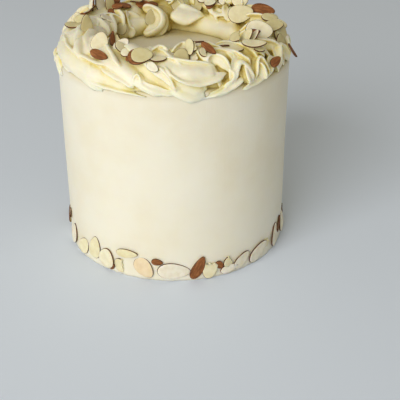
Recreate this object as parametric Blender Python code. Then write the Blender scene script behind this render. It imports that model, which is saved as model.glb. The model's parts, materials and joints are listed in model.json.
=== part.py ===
"""Amaretto cake: a tall round cake coated in buttercream, with a piped ring and flaked almonds.

Metres, +Z up. The origin is the centre of the flat underside, which rests on z = 0.
A bearing is an angle round the cake seen from above: 0 at the front (-Y), 90 at the right (+X).
An arch angle runs over the piped ring in a radial section: 0 inside, 90 on top, 180 outside.
Two solids: iced_cake, with the band of almond slices pressed round its foot, and piped_ring,
the piped buttercream folds with the almond slices scattered on them.
"""

import math
import random

import bmesh
import bpy
from mathutils import Matrix, Vector, noise
from mathutils.bvhtree import BVHTree

# Cake
CAKE_RADIUS = 0.075
CAKE_HEIGHT = 0.130
TOP_EDGE_RADIUS = 0.003
FOOT_CHAMFER = 0.0006
CAKE_SIDES = 80
CORNER_STEPS = 3
CLEARANCE = 0.00045

# Piped ring: each fold climbs from the inner side, goes over the top and comes down outside,
# along a parabola that drops below the cake's top where it hangs over the edge.
RING_RADIUS = 0.0562
ARCH_HALF_WIDTH = 0.0156
ARCH_RISE = 0.0112
ARCH_DROP = 0.0026
ADVANCE_POWER = 1.5
CORE_HALF_WIDTH = 0.0150
CORE_HALF_HEIGHT = 0.0120
CORE_STEPS = 36
CORE_SIDES = 8
STAR_SHARPNESS = 1.2
STAR_HOOK = 0.35
INNER_END_SCALE = 0.55
INNER_ROUNDING = 0.20
OUTER_END_SCALE = 0.58
OUTER_ROUNDING = 0.42
POINTS_PER_LOBE = 6
STEPS_PER_FOLD = 16
STEPS_PER_STROKE = 12
STEPS_PER_CURL = 16

# Groups of folds: first and last bearing, spacing, advance of the first and the last fold in
# degrees, section radius, twist in degrees, lobes of the piping star, where on the arch the fold
# starts, from -1 inside to 1 outside, and fullness of the star between its lobes.
FOLD_GROUPS = (
    (-168.0, -160.0, 21.0, 104.0, 104.0, 0.0078, 60.0, 4, -0.70, 0.78),
    (-147.0, -52.0, 21.0, 96.4, 62.0, 0.0094, 60.0, 4, -0.70, 0.78),
    (-36.0, -8.0, 14.0, 44.0, 34.0, 0.0096, 60.0, 4, -0.95, 0.78),
    (12.0, 95.0, 9.5, 12.0, 8.0, 0.0090, 30.0, 4, -0.95, 0.56),
    (104.0, 182.0, 14.0, 16.0, 20.0, 0.0094, 60.0, 4, -0.35, 0.60),
)

# The dome that the folds make together, in a radial section
DOME_HALF_WIDTH = 0.0190
DOME_HEIGHT = 0.0195
DOME_BASE = 0.1290

# Strokes piped over the folds: bearing and arch angle at the start, middle and end, depth their
# middle line is sunk in the dome, radius at the start, middle and end, and fullness, from 0.4
# for a thin lip to 0.95 for a round swell. Degrees and millimetres.
STROKES = (
    (-90, 150, -62, 150, -26, 168, 5.0, 3.6, 7.8, 5.0, 0.90),
    (-54, 166, -33, 175, -9, 185, 0.8, 1.4, 2.8, 1.8, 0.45),
    (-84, 132, -56, 136, -25, 140, 1.0, 2.0, 3.8, 2.4, 0.45),
    (-64, 96, -55, 122, -46, 142, 1.0, 2.4, 4.8, 3.0, 0.42),
    (-41, 96, -31, 124, -23, 144, 1.2, 2.6, 5.0, 2.8, 0.50),
    (-42, 144, -39, 156, -37, 170, 0.8, 1.2, 2.2, 1.2, 0.50),
    (-35, 144, -25, 158, -16, 171, 0.8, 1.6, 3.0, 2.2, 0.45),
    (-17.5, 174, -15, 150, -12, 164, 0.3, 1.3, 2.2, 1.5, 0.45),
    (-14.5, 154, -9, 168, 3, 182, 0.6, 1.6, 2.8, 2.0, 0.45),
    (-6, 130, -1, 148, 3, 180, 0.8, 2.0, 3.4, 2.2, 0.45),
    (-3, 128, 8, 160, 27, 150, 0.8, 2.4, 4.4, 2.6, 0.42),
    (-1, 126, 10, 142, 23, 144, 5.0, 5.0, 7.6, 5.0, 0.90),
    (-5, 110, 8, 123, 22, 134, 1.2, 2.0, 3.8, 2.6, 0.45),
    (0, 172, 8, 184, 17, 181, 2.0, 2.4, 4.4, 2.8, 0.75),
    (12, 190, 18, 185, 24, 178, 0.3, 1.2, 2.0, 1.4, 0.45),
    (16, 190, 24, 181, 31, 171, 0.3, 1.2, 2.2, 1.6, 0.45),
    (20, 190, 27, 176, 35, 163, 0.3, 1.2, 2.4, 1.8, 0.45),
    (17, 130, 23, 117, 29, 150, 0.6, 2.6, 4.2, 3.2, 0.42),
    (29, 146, 29.5, 162, 24, 173, 1.0, 2.8, 3.2, 2.0, 0.45),
    (28, 172, 35, 136, 40.5, 179, 0.6, 2.4, 4.2, 2.6, 0.42),
    (41, 176, 46.5, 142, 51, 181, 0.6, 2.4, 4.0, 2.6, 0.42),
    (51, 178, 55, 154, 60, 181, 0.6, 2.2, 3.6, 2.4, 0.42),
    (60, 178, 67, 140, 75, 179, 0.8, 2.4, 4.2, 2.8, 0.42),
    (75, 178, 83, 140, 92, 179, 0.8, 2.4, 4.2, 2.8, 0.42),
    (34, 184, 42, 177, 50, 170, 0.3, 1.4, 2.4, 1.8, 0.45),
    (28, 98, 34, 120, 41, 146, 1.2, 2.8, 4.6, 3.2, 0.42),
    (42, 98, 47, 118, 53, 142, 1.2, 2.8, 4.6, 3.2, 0.42),
    (56, 100, 62, 122, 68, 144, 1.2, 2.8, 4.6, 3.2, 0.42),
    (16, 128, 26, 106, 35, 130, 1.0, 2.6, 4.2, 2.8, 0.42),
    (-12, 100, -7, 80, -1, 97, -1.0, 2.6, 4.4, 2.6, 0.50),
    (1, 98, 7, 78, 12, 98, -0.6, 2.4, 4.2, 2.4, 0.50),
    (15, 96, 18, 112, 20, 130, 0.2, 1.6, 2.8, 1.8, 0.45),
    (20, 92, 23, 106, 25, 122, 0.2, 1.6, 2.8, 1.8, 0.45),
    (-92, 168, -84, 178, -73, 187, 0.8, 1.8, 3.0, 2.0, 0.50),
    (-78, 172, -72, 184, -64, 190, 0.6, 1.4, 2.2, 1.4, 0.50),
    (-95, 166, -91, 173, -89, 181, 0.0, 1.2, 2.0, 1.5, 0.55),
    (-88, 168, -84, 175, -82, 183, 0.0, 1.2, 2.2, 1.5, 0.55),
    (-81, 168, -77, 175, -75, 183, 0.0, 1.2, 2.2, 1.5, 0.55),
    (-88, 170, -82, 179, -78, 187, -0.6, 1.2, 2.0, 1.4, 0.55),
    (-138, 66, -128, 34, -140, 12, 0.3, 2.0, 3.6, 2.0, 0.45),
    (-88, 66, -108, 70, -122, 36, 0.2, 2.0, 3.6, 2.2, 0.45),
    (150, 64, 143, 46, 134, 32, 0.2, 1.8, 3.4, 2.0, 0.45),
    (139, 78, 132, 58, 122, 42, 0.2, 1.8, 3.4, 2.0, 0.45),
    (104, 24, 140, 20, 184, 24, 6.5, 7.0, 8.0, 6.5, 0.95),
    (-178, 22, -150, 22, -110, 26, 6.5, 7.0, 9.0, 7.0, 0.95),
    (183, 44, 169, 32, 150, 38, 0.0, 7.5, 9.2, 1.2, 0.60),
    (184, 80, 178, 60, 170, 46, 0.6, 2.0, 3.8, 2.2, 0.42),
    (-96, 24, -106, 50, -116, 72, 1.0, 2.4, 4.8, 2.4, 0.45),
    (-84, 34, -92, 58, -102, 80, 1.0, 2.4, 4.8, 2.4, 0.45),
    (-118, 26, -124, 52, -130, 84, 0.5, 2.4, 4.8, 2.2, 0.45),
    (152, 70, 141, 50, 128, 58, 1.0, 3.0, 4.8, 2.6, 0.45),
    (132, 80, 122, 58, 110, 64, 1.0, 3.0, 4.8, 2.6, 0.45),
    (160, 88, 150, 68, 136, 84, 0.5, 3.0, 4.8, 2.6, 0.45),
    (112, 60, 102, 84, 96, 112, 1.0, 2.6, 4.8, 3.0, 0.45),
    (124, 84, 112, 108, 104, 138, 1.0, 2.6, 4.8, 3.0, 0.45),
    (36.5, 144, 37, 160, 37.5, 176, -0.4, 1.8, 3.2, 2.4, 0.48),
    (46, 145, 46.5, 160, 46.5, 177, -0.6, 2.0, 3.6, 2.6, 0.50),
    (-76, 168, -71, 177, -67, 185, -0.6, 1.2, 2.0, 1.4, 0.55),
    (-77, 168, -70.5, 181, -66, 194, 1.2, 2.6, 3.3, 2.6, 0.95),
)
STROKES_BEHIND = 9

# Curls piped on the inner face: bearing, arch angle, height off the dome, bearing and elevation
# the curl opens to, radius of its arc, its first and last angle, radius of the cream at the
# start and at the end, and drift of the end out of the arc's plane. Degrees and millimetres.
CURLS = (
    (-152, 28, 2.0, 4, 32, 8.4, 120, -115, 5.2, 5.8, 2.0),
    (-139, 32, 2.5, 4, 30, 9.0, 140, 262, 3.0, 4.2, 1.5),
    (-170, 72, 2.0, 4, 40, 6.0, 150, -60, 3.2, 2.6, 3.0),
    (128, 72, 2.0, -10, 40, 6.0, 150, -70, 3.2, 2.6, 3.0),
)
LIP_LOBES = 3
CURL_FULLNESS = 0.50
LIP_SHARPNESS = 1.2
LIP_HOOK = 0.30
LIP_LEAN = 28.0
CURL_LEAN = 25.0
END_ROUNDING = 0.12

# Unevenness of soft cream: how far the broad and the fine drift move a point, and how many
# drifts there are to a metre.
WARP_BROAD = 0.0012
WARP_FINE = 0.00045
BROAD_DRIFTS = 75.0
FINE_DRIFTS = 210.0
BLEND_SIZE = 0.0006
BLEND_ROUNDS = 3
CREAM_TRIANGLES = 5400

# Almond slices
SLICE_LENGTH = 0.0165
SLICE_WIDTH = 0.0105
SLICE_THICKNESS = 0.0012
SLICE_TAPER = 0.22
SLICE_SIDES = 8
BROKEN_AT = 0.12

# Slices pressed on the foot of the cake: bearing, height, spin, length, width and kind.
FOOT_SLICES = (
    (-74, 20.0, 70, 8, 6, "face"),
    (-66, 9.5, 85, 15, 9, "face"),
    (-54, 8.0, 60, 13, 10, "face"),
    (-44, 12.5, 82, 17, 10, "face"),
    (-36, 8.8, 75, 15, 13, "face"),
    (-33, 4.0, 30, 6, 5, "skin"),
    (-26.7, 6.6, 5, 13, 10, "broken"),
    (-23.5, 17.4, 7, 16, 6, "face"),
    (-14.7, 8.6, -50, 16, 11.5, "face"),
    (-8, 14.3, -8, 7.5, 4.6, "skin"),
    (0.2, 7.7, -6, 22, 11.5, "face"),
    (12, 9.2, 65, 18, 8, "skin"),
    (18.4, 10.0, 80, 20, 10, "broken"),
    (23.0, 8.8, -50, 6.5, 5, "skin"),
    (28.9, 10.2, 30, 11, 7, "broken"),
    (28.5, 4.2, 8, 13, 6, "face"),
    (36, 7.2, 35, 15, 9, "face"),
    (47.5, 7.6, 28, 19, 11, "face"),
    (55, 11.5, 70, 10, 6, "broken"),
    (63.5, 10.0, 72, 17, 10, "face"),
    (70, 14.0, 60, 12, 8, "skin"),
    (77, 11.5, 75, 16, 9, "face"),
)
FOOT_SLICES_BEHIND = 24
FOOT_STAND_OFF = (0.0003, 0.0009)

# Slices on the ring: bearing, arch angle, rise of the centre out of the cream, bearing and
# elevation the face looks to, spin, length, width and kind.
RING_SLICES = (
    (-84, 110, 1.6, 0, 84, -6, 12, 8, "face"),
    (-97, 112, 1.4, 10, 20, 80, 10, 7.5, "face"),
    (-72, 89, 3.0, 25, 15, 88, 15, 8, "face"),
    (-42.8, 106, 1.8, 0, 38, 75, 12.6, 10.4, "face"),
    (-37.3, 129, 1.0, -20, 45, -16, 12.5, 5.6, "skin"),
    (-40, 86, 1.6, 40, 40, 62, 10, 3.4, "skin"),
    (-37, 82, 2.0, -60, 20, -30, 10, 6, "broken"),
    (-39, 88, 1.6, 70, 30, 50, 9, 4.5, "skin"),
    (-117, 27, 1.4, 0, 30, 60, 9, 7.5, "face"),
    (-121, 95, 4.0, 50, 12, 86, 13, 8, "face"),
    (-115, 101, 3.6, -62, 10, 80, 12, 7, "face"),
    (-126, 84, 3.0, 40, 15, 84, 12, 7, "face"),
    (-103, 106, 1.0, -50, 30, 24, 7, 3.6, "skin"),
    (-95, 101, 0.8, 55, 55, -30, 7, 3.5, "skin"),
    (-14, 119, 1.4, 0, 52, 4, 13, 10, "face"),
    (-15.5, 121, 0.6, 0, 52, 4, 13.5, 10.5, "skin"),
    (-21, 114, 1.0, -40, 40, 60, 8, 4.5, "skin"),
    (-6, 119, 1.2, 5, 80, -3, 10, 6, "face"),
    (-8, 137, 0.6, -15, 32, -28, 8, 5, "face"),
    (5.5, 108, 1.6, 8, 34, 70, 12, 10, "face"),
    (7, 97, 2.2, 48, 26, 60, 10, 6.5, "face"),
    (11, 95, 2.0, -42, 36, -50, 11, 6, "face"),
    (14, 97, 1.6, -20, 50, 30, 8, 6, "broken"),
    (15.5, 85, 2.0, 0, 108, -4, 10, 5, "skin"),
    (20.5, 107, 1.8, 0, 50, -42, 11, 4.6, "skin"),
    (37, 96, 2.2, 10, 70, -12, 16, 9, "face"),
    (33, 84, 2.6, 20, 112, -36, 10, 6, "face"),
    (49, 98, 2.8, -60, 24, 60, 13, 8, "face"),
    (45, 91, 3.0, -44, 58, 40, 12, 8, "broken"),
    (53, 104, 2.4, -70, 34, 74, 11, 7, "face"),
    (63, 99, 4.0, 5, 35, -4, 17, 13, "face"),
    (64, 86, 3.2, -50, 30, 70, 11, 5, "skin"),
    (60, 93, 3.2, 20, 70, 10, 10, 6, "skin"),
    (107, 62, 2.4, 0, 35, 12, 17, 12, "face"),
    (107, 103, 2.8, 0, 44, -10, 16, 8, "skin"),
    (94, 106, 2.8, 20, 66, -14, 11, 7, "face"),
    (90, 123, 4.6, 15, 46, -10, 12, 8, "face"),
    (84, 120, 2.6, 40, 34, 62, 13, 9, "face"),
    (78, 112, 2.8, -10, 56, 20, 13, 9, "face"),
    (72, 160, 3.8, 88, 35, 80, 10, 6, "skin"),
    (79, 128, 2.6, 40, 30, 70, 14, 10, "face"),
    (71, 140, 2.0, 50, 20, 80, 12, 9, "face"),
    (54, 158, 1.2, 40, 32, 20, 9.5, 5.5, "skin"),
    (-153, 30, 1.8, 10, 25, 80, 11, 7, "face"),
    (-153, 62, 1.6, 0, 50, -5, 12, 6, "skin"),
    (147, 58, 1.4, -30, 40, 40, 7, 5, "skin"),
    (124, 84, 0.4, -10, 30, 60, 14, 11, "face"),
    (-126, 66, 1.4, -20, 50, 10, 8, 4, "skin"),
    (-134, 92, 1.6, 30, 50, 0, 8, 5, "skin"),
    (-176, 68, 2.2, 0, 30, 60, 12, 9, "face"),
    (157, 74, 2.2, 10, 30, 30, 11, 8, "face"),
    (138, 76, 2.0, -20, 44, -30, 10, 7, "broken"),
    (46, 120, 2.2, 10, 76, -8, 15, 8, "face"),
    (50, 128, 1.8, 30, 70, 10, 11, 7, "broken"),
    (14, 108, 1.6, -44, 42, 50, 9, 6, "broken"),
    (18, 112, 1.4, 40, 50, -20, 8, 6, "broken"),
    (-31, 93, 2.0, -20, 30, 50, 12, 8, "face"),
    (-28, 101, 1.6, 44, 36, -50, 11, 6, "face"),
    (-24, 106, 1.3, 10, 60, 20, 9, 6, "broken"),
    (-88, 96, 2.0, -30, 58, 10, 10, 7, "face"),
)
RING_SLICES_BEHIND = 20

SEED = 7


def polar(radius, bearing, height):
    """The point at this radius, bearing in degrees and height."""
    turn = math.radians(bearing)
    return Vector((radius * math.sin(turn), -radius * math.cos(turn), height))


def make_object(name, mesh_data):
    made = bpy.data.objects.new(name, mesh_data)
    bpy.context.scene.collection.objects.link(made)
    return made


def mesh_from(name, points, faces):
    """A closed mesh from its points and faces, every face turned outward."""
    data = bpy.data.meshes.new(name)
    data.from_pydata([tuple(point) for point in points], [], faces)
    work = bmesh.new()
    work.from_mesh(data)
    bmesh.ops.recalc_face_normals(work, faces=work.faces)
    work.to_mesh(data)
    work.free()
    return data


def tube(name, rings):
    """A solid through rings of points, with its two ends closed."""
    count = len(rings[0])
    points = [point for ring in rings for point in ring]
    faces = [tuple(range(count))[::-1]]
    for start in range(0, len(points) - count, count):
        for step in range(count):
            after = (step + 1) % count
            faces.append((start + step, start + after, start + count + after, start + count + step))
    faces.append(tuple(range(len(points) - count, len(points))))
    return mesh_from(name, points, faces)


def cake_body(name, grow):
    """The iced cylinder, its side and top moved out by grow."""
    radius = CAKE_RADIUS + grow
    height = CAKE_HEIGHT + grow
    corner = TOP_EDGE_RADIUS + grow
    profile = [(radius - FOOT_CHAMFER, 0.0), (radius, FOOT_CHAMFER)]
    for step in range(CORNER_STEPS + 1):
        turn = math.pi / 2 * step / CORNER_STEPS
        profile.append(
            (radius - corner + corner * math.cos(turn), height - corner + corner * math.sin(turn))
        )
    rings = [
        [polar(reach, 360 * side / CAKE_SIDES, level) for side in range(CAKE_SIDES)]
        for reach, level in profile
    ]
    return tube(name, rings)


def ring_core():
    """The buttercream under the folds: a ring with an elliptical section."""
    points = []
    for step in range(CORE_STEPS):
        for side in range(CORE_SIDES):
            turn = 2 * math.pi * side / CORE_SIDES
            reach = RING_RADIUS + CORE_HALF_WIDTH * math.cos(turn)
            level = CAKE_HEIGHT + CORE_HALF_HEIGHT * math.sin(turn)
            points.append(polar(reach, 360 * step / CORE_STEPS, level))
    faces = []
    for step in range(CORE_STEPS):
        here = step * CORE_SIDES
        there = (step + 1) % CORE_STEPS * CORE_SIDES
        for side in range(CORE_SIDES):
            after = (side + 1) % CORE_SIDES
            faces.append((here + side, here + after, there + after, there + side))
    return mesh_from("ring_core", points, faces)


def star_outline(lobes, inner, sharpness, hook):
    """Points round the hooked star of the piping nozzle, with a reach of 1."""
    count = lobes * POINTS_PER_LOBE
    outline = []
    for index in range(count):
        rise = (0.5 + 0.5 * math.cos(2 * math.pi * index / POINTS_PER_LOBE)) ** sharpness
        turn = 2 * math.pi * index / count + hook * rise
        reach = inner + (1 - inner) * rise
        outline.append((reach * math.cos(turn), reach * math.sin(turn)))
    return outline


def lip_outline(fullness):
    return star_outline(LIP_LOBES, fullness, LIP_SHARPNESS, LIP_HOOK)


def list_folds():
    """Every fold of the ring, with the unevenness of hand piping."""
    chance = random.Random(SEED)
    folds = []
    for group in FOLD_GROUPS:
        first, last, spacing, first_advance, last_advance, radius, twist, lobes, start, full = group
        bearing = first
        while bearing <= last:
            done = (bearing - first) / (last - first)
            advance = first_advance + (last_advance - first_advance) * done
            folds.append(
                {
                    "bearing": bearing + spacing * chance.uniform(-0.1, 0.1),
                    "advance": advance * chance.uniform(0.9, 1.1),
                    "radius": radius * chance.uniform(0.93, 1.07),
                    "twist": twist * chance.uniform(0.7, 1.3),
                    "phase": chance.uniform(0, 360 / lobes),
                    "lift": chance.uniform(-0.0008, 0.0012),
                    "shift": chance.uniform(-0.0008, 0.0008),
                    "lobes": lobes,
                    "start": start,
                    "fullness": full,
                }
            )
            bearing += spacing * chance.uniform(0.92, 1.08)
    return folds


def fold_point(fold, share):
    """The middle of a fold at this share of its length."""
    reach = fold["start"] + (1 - fold["start"]) * share
    radius = RING_RADIUS + fold["shift"] + ARCH_HALF_WIDTH * reach
    rise = ARCH_RISE + ARCH_DROP + fold["lift"]
    height = CAKE_HEIGHT - ARCH_DROP + rise * (1 - reach * reach)
    bearing = fold["bearing"] + fold["advance"] * share**ADVANCE_POWER
    return polar(radius, bearing, height)


def fold_scale(share):
    """How full the fold's section is: it swells from one end and thins to the other."""
    inner = math.sin(math.pi / 2 * min(1.0, share / INNER_ROUNDING))
    outer = math.sin(math.pi / 2 * min(1.0, (1 - share) / OUTER_ROUNDING))
    swell = INNER_END_SCALE + (1 - INNER_END_SCALE) * inner
    thin = OUTER_END_SCALE + (1 - OUTER_END_SCALE) * outer
    return min(swell, thin)


def sweep_star(name, path, reaches, turns, outline, tops=None):
    """The star swept along a path. Its first lobe points to tops, where they are given."""
    heading = (path[1] - path[0]).normalized()
    side = heading.orthogonal().normalized()
    rings = []
    for step, middle in enumerate(path):
        ahead = path[min(step + 1, len(path) - 1)] - path[max(step - 1, 0)]
        side = tops[step] if tops else heading.rotation_difference(ahead) @ side
        heading = ahead.normalized()
        side = (side - heading * side.dot(heading)).normalized()
        across = heading.cross(side)
        turn, reach = turns[step], reaches[step]
        rings.append(
            [
                middle
                + side * reach * (x * math.cos(turn) - y * math.sin(turn))
                + across * reach * (x * math.sin(turn) + y * math.cos(turn))
                for x, y in outline
            ]
        )
    return tube(name, rings)


def fold_mesh(fold):
    """One piped fold: the star swept along its arch, turning as it goes."""
    shares = [step / STEPS_PER_FOLD for step in range(STEPS_PER_FOLD + 1)]
    path = [fold_point(fold, share) for share in shares]
    reaches = [fold["radius"] * fold_scale(share) for share in shares]
    turns = [math.radians(fold["phase"] + fold["twist"] * share) for share in shares]
    outline = star_outline(fold["lobes"], fold["fullness"], STAR_SHARPNESS, STAR_HOOK)
    return sweep_star("fold", path, reaches, turns, outline)


def dome_point(bearing, arch, lift):
    """A point this far off the dome at a bearing and an arch angle."""
    lean = math.radians(arch)
    radius = RING_RADIUS - (DOME_HALF_WIDTH + lift) * math.cos(lean)
    return polar(radius, bearing, DOME_BASE + (DOME_HEIGHT + lift) * math.sin(lean))


def through(start, middle, end, share):
    """The value at this share of a curve that passes the middle value half way."""
    bend = 2 * middle - (start + end) / 2
    rest = 1 - share
    return rest * rest * start + 2 * rest * share * bend + share * share * end


def rounded_end(share):
    return min(1.0, math.sqrt(max(0.12, min(share, 1 - share) / END_ROUNDING)))


def stroke_mesh(stroke, number):
    """One stroke along the dome, its lip standing off the dome and leaning as it goes."""
    shares = [step / STEPS_PER_STROKE for step in range(STEPS_PER_STROKE + 1)]
    bearings, arches, (sink, *radii) = stroke[0:6:2], stroke[1:6:2], stroke[6:10]
    path, turns, reaches, tops = [], [], [], []
    for share in shares:
        bearing, arch = through(*bearings, share), through(*arches, share)
        path.append(dome_point(bearing, arch, -sink / 1000))
        tops.append(path[-1] - dome_point(bearing, arch, -DOME_HEIGHT / 2))
        turns.append(math.radians(LIP_LEAN * math.sin(2.4 * number + 2 * share)))
        reaches.append(through(*radii, share) / 1000 * rounded_end(share))
    return sweep_star("stroke", path, reaches, turns, lip_outline(stroke[10]), tops)


def strokes_behind():
    """Folds over the crest and teeth at the rim, along the back of the ring."""
    chance = random.Random(SEED + 3)
    made = []
    for index in range(STROKES_BEHIND):
        bearing = 106 + 17 * index + chance.uniform(-3, 3)
        swell, crest = chance.uniform(4.4, 5.6), chance.uniform(142, 152)
        made.append((bearing - 8, 100, bearing, 130, bearing + 14, 168, 0.6, 2.4, swell, 3.0, 0.45))
        made.append((bearing, 178, bearing + 6, crest, bearing + 12, 181, 0.6, 2.2, 3.9, 2.4, 0.42))
    return made


def curl_mesh(curl):
    """One curl: an open arc of cream whose lip turns out and towards the viewer of the arc."""
    bearing, arch, lift, face_bearing, face_elevation, arc, first, last, thick, thin, drift = curl
    middle = dome_point(bearing, arch, lift / 1000)
    place = slice_frame(middle, face_bearing, face_elevation, 0.0)
    shares = [step / STEPS_PER_CURL for step in range(STEPS_PER_CURL + 1)]
    path, turns, reaches, tops = [], [], [], []
    for share in shares:
        turn = math.radians(first + (last - first) * share)
        along = Vector((arc * math.cos(turn), arc * math.sin(turn), drift * share))
        path.append(place @ (along / 1000))
        tops.append(place.to_3x3() @ Vector((math.cos(turn), math.sin(turn), 1.0)))
        turns.append(math.radians(CURL_LEAN * math.sin(3 * share)))
        reaches.append((thick + (thin - thick) * share) / 1000 * rounded_end(share))
    return sweep_star("curl", path, reaches, turns, lip_outline(CURL_FULLNESS), tops)


def warp(data):
    """Soften the regularity of the folds: every point moves a little with its place."""
    noise.seed_set(SEED)
    for point in data.vertices:
        broad = noise.noise_vector(point.co * BROAD_DRIFTS)
        fine = noise.noise_vector(point.co * FINE_DRIFTS + Vector((5, 3, 1)))
        point.co += WARP_BROAD * broad + WARP_FINE * fine


def slice_frame(centre, face_bearing, face_elevation, spin):
    """Axes of a slice: long, short and out of its face, placed at its centre."""
    turn = math.radians(face_bearing)
    lift = math.radians(face_elevation)
    face = polar(math.cos(lift), face_bearing, math.sin(lift))
    level = Vector((math.cos(turn), math.sin(turn), 0.0))
    steep = face.cross(level)
    roll = math.radians(spin)
    long_axis = level * math.cos(roll) + steep * math.sin(roll)
    short_axis = face.cross(long_axis)
    axes = Matrix((long_axis, short_axis, face)).transposed().to_4x4()
    return Matrix.Translation(centre) @ axes


def slice_mesh(frame, length, width, kind):
    """A flaked almond: a thin drop-shaped slice, cut off short where it is broken."""
    outline = []
    for side in range(SLICE_SIDES):
        turn = 2 * math.pi * (side + 0.5) / SLICE_SIDES
        along = math.cos(turn)
        across = math.sin(turn) * (1 - SLICE_TAPER * along)
        if kind == "broken":
            along = min(along, BROKEN_AT)
        outline.append((length / 2 * along, width / 2 * across))
    rings = [
        [frame @ Vector((x, y, level)) for x, y in outline]
        for level in (-SLICE_THICKNESS / 2, SLICE_THICKNESS / 2)
    ]
    return tube("slice", rings)


def foot_slices():
    """Slices pressed on the side of the cake in an uneven band one slice high."""
    chance = random.Random(SEED + 1)
    places = list(FOOT_SLICES)
    spacing = (360 - 168) / FOOT_SLICES_BEHIND
    for index in range(FOOT_SLICES_BEHIND):
        length = 1000 * SLICE_LENGTH * chance.uniform(0.7, 1.2)
        width = 1000 * SLICE_WIDTH * chance.uniform(0.75, 1.1)
        spin = chance.uniform(-85, 85)
        reach = math.hypot(
            length / 2 * math.sin(math.radians(spin)), width / 2 * math.cos(math.radians(spin))
        )
        places.append(
            (
                85 + spacing * (index + chance.uniform(0.1, 0.9)),
                reach + chance.uniform(1.0, 4.5),
                spin,
                length,
                width,
                chance.choice(("face", "face", "face", "broken", "skin")),
            )
        )
    made = []
    for bearing, height, spin, length, width, kind in places:
        stand_off = chance.uniform(*FOOT_STAND_OFF)
        centre = polar(CAKE_RADIUS + stand_off, bearing, height / 1000)
        frame = slice_frame(centre, bearing + chance.uniform(-9, 9), chance.uniform(-4, 8), spin)
        made.append(slice_mesh(frame, length / 1000, width / 1000, kind))
    return made


def ring_slices(cream):
    """Slices scattered on the folds, some lying and some standing in the cream."""
    chance = random.Random(SEED + 2)
    places = list(RING_SLICES)
    spacing = 120 / RING_SLICES_BEHIND
    for index in range(RING_SLICES_BEHIND):
        bearing = 138 + spacing * (index + chance.uniform(0, 1))
        arch = chance.uniform(45, 150)
        upright = chance.random() < 0.4
        places.append(
            (
                bearing,
                arch,
                chance.uniform(1, 2.5) if upright else chance.uniform(0.3, 1.0),
                bearing + chance.uniform(-180, 180) if upright else bearing,
                chance.uniform(0, 30) if upright else 180 - arch + chance.uniform(-30, 30),
                chance.uniform(50, 90) if upright else chance.uniform(-90, 90),
                1000 * SLICE_LENGTH * chance.uniform(0.6, 1.1),
                1000 * SLICE_WIDTH * chance.uniform(0.7, 1.05),
                chance.choice(("face", "face", "broken", "skin")),
            )
        )
    made = []
    for bearing, arch, rise, face_bearing, face_elevation, spin, length, width, kind in places:
        middle = polar(RING_RADIUS, bearing, CAKE_HEIGHT)
        lean = math.radians(arch)
        outward = polar(-math.cos(lean), bearing, math.sin(lean))
        hit = cream.ray_cast(middle + outward * 0.06, -outward)[0]
        frame = slice_frame(hit + outward * rise / 1000, face_bearing, face_elevation, spin)
        made.append(slice_mesh(frame, length / 1000, width / 1000, kind))
    return made


def apply_modifiers(target):
    graph = bpy.context.evaluated_depsgraph_get()
    data = bpy.data.meshes.new_from_object(target.evaluated_get(graph))
    target.modifiers.clear()
    target.data = data


def boolean(target, operation, **operand):
    """One Boolean step, applied to the target."""
    step = target.modifiers.new(operation.lower(), "BOOLEAN")
    step.operation = operation
    step.solver = "MANIFOLD"
    for setting, value in operand.items():
        setattr(step, setting, value)
    apply_modifiers(target)


def soften(target):
    """Run the strokes into one another as soft cream does."""
    blend = target.modifiers.new("blend", "REMESH")
    blend.mode = "VOXEL"
    blend.voxel_size = BLEND_SIZE
    smooth = target.modifiers.new("smooth", "SMOOTH")
    smooth.factor = 0.5
    smooth.iterations = BLEND_ROUNDS
    apply_modifiers(target)


def thin_out(target):
    """Keep only the triangles that the forms need."""
    work = bmesh.new()
    work.from_mesh(target.data)
    bmesh.ops.triangulate(work, faces=work.faces)
    work.to_mesh(target.data)
    work.free()
    thin = target.modifiers.new("thin", "DECIMATE")
    thin.ratio = CREAM_TRIANGLES / len(target.data.polygons)
    apply_modifiers(target)


def fuse(target, meshes):
    """Join the meshes to the target with one union, then remove them."""
    group = bpy.data.collections.new("to_join")
    bpy.context.scene.collection.children.link(group)
    for data in meshes:
        group.objects.link(bpy.data.objects.new(data.name, data))
    boolean(target, "UNION", operand_type="COLLECTION", collection=group)
    for thing in list(group.objects):
        bpy.data.objects.remove(thing, do_unlink=True)
    bpy.data.collections.remove(group)


def keep_largest_shell(target):
    """Drop loose scraps and fill sealed hollows: only the outer shell stays."""
    work = bmesh.new()
    work.from_mesh(target.data)
    unseen = set(work.faces)
    shells = []
    while unseen:
        shell = {unseen.pop()}
        border = list(shell)
        while border:
            face = border.pop()
            for edge in face.edges:
                for other in edge.link_faces:
                    if other in unseen:
                        unseen.remove(other)
                        shell.add(other)
                        border.append(other)
        shells.append(shell)
    largest = max(shells, key=len)
    scraps = [face for face in work.faces if face not in largest]
    bmesh.ops.delete(work, geom=scraps, context="FACES")
    work.to_mesh(target.data)
    work.free()


def paint(target, name, colour, roughness):
    made = bpy.data.materials.new(name)
    made.use_nodes = True
    shader = made.node_tree.nodes["Principled BSDF"]
    shader.inputs["Base Color"].default_value = (*colour, 1.0)
    shader.inputs["Roughness"].default_value = roughness
    target.data.materials.clear()
    target.data.materials.append(made)


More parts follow.
